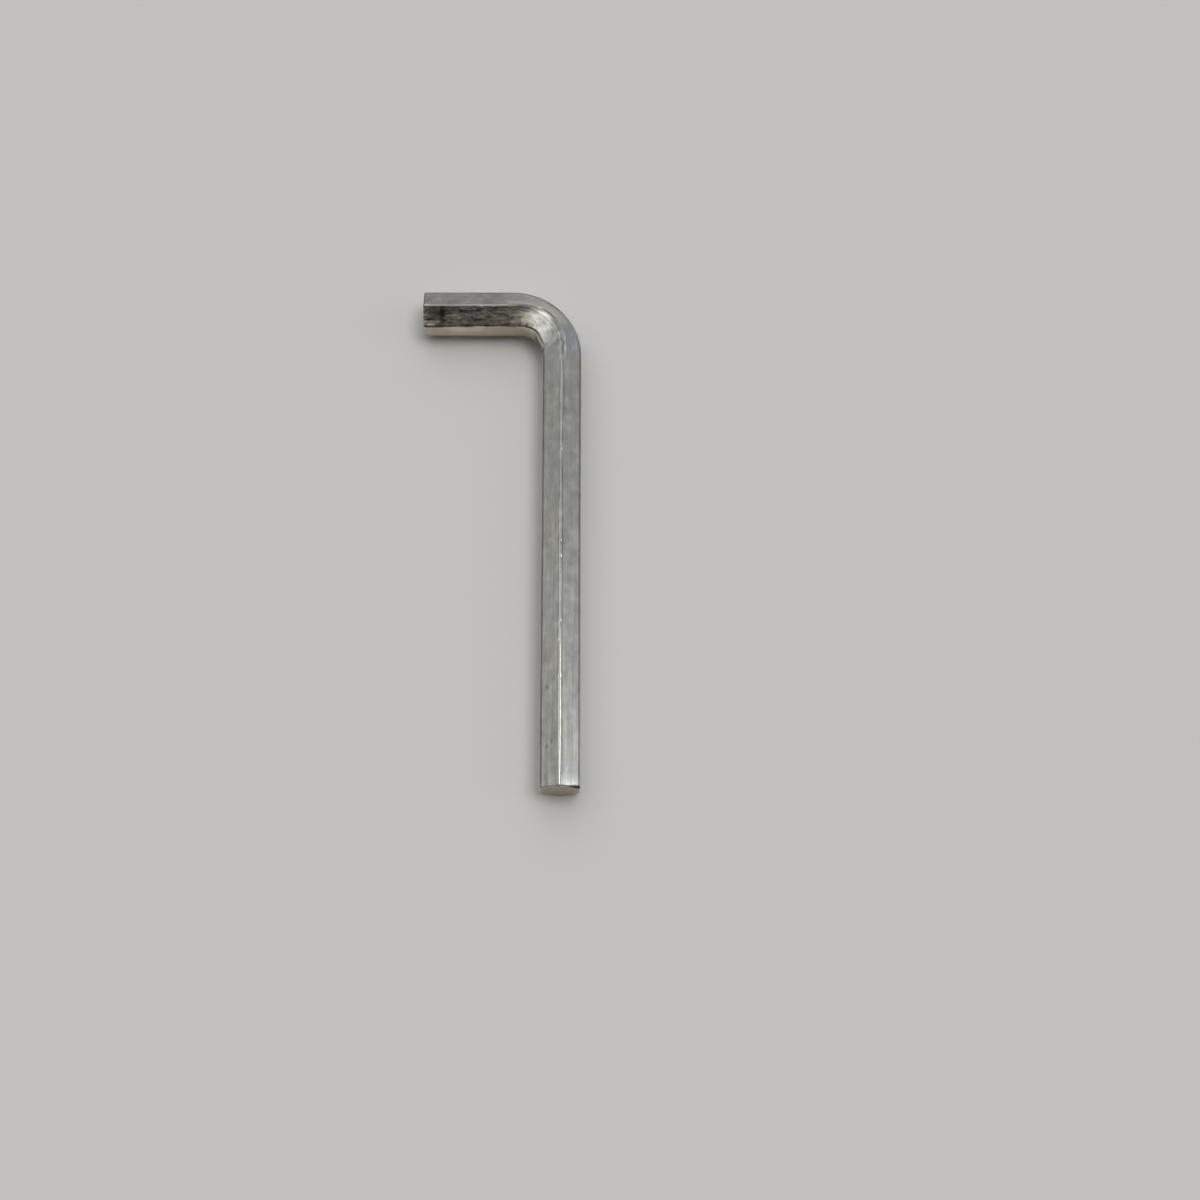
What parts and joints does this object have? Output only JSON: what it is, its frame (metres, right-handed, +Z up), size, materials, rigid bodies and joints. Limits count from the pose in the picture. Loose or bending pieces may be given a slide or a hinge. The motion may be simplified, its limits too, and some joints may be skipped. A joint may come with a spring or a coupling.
{
  "type": "hex key",
  "caption": "L-shaped key bent from hexagon bar, for turning hexagon socket screws by either end.",
  "frame": {"origin": "on the surface the key lies on, under the middle of its whole length and width", "axes": "+Z up, the long arm runs along Y with its end towards -Y, the short arm runs along X with its end towards -X"},
  "size_m": [0.0204, 0.0654, 0.0056],
  "materials": {
    "zinc_plated_steel": "bright zinc plating over drawn steel, fine lines along the bar, rubbed and scratched, satin"
  },
  "bodies": {
    "root": {"hex_bar": "zinc_plated_steel"}
  },
  "joints": []
}
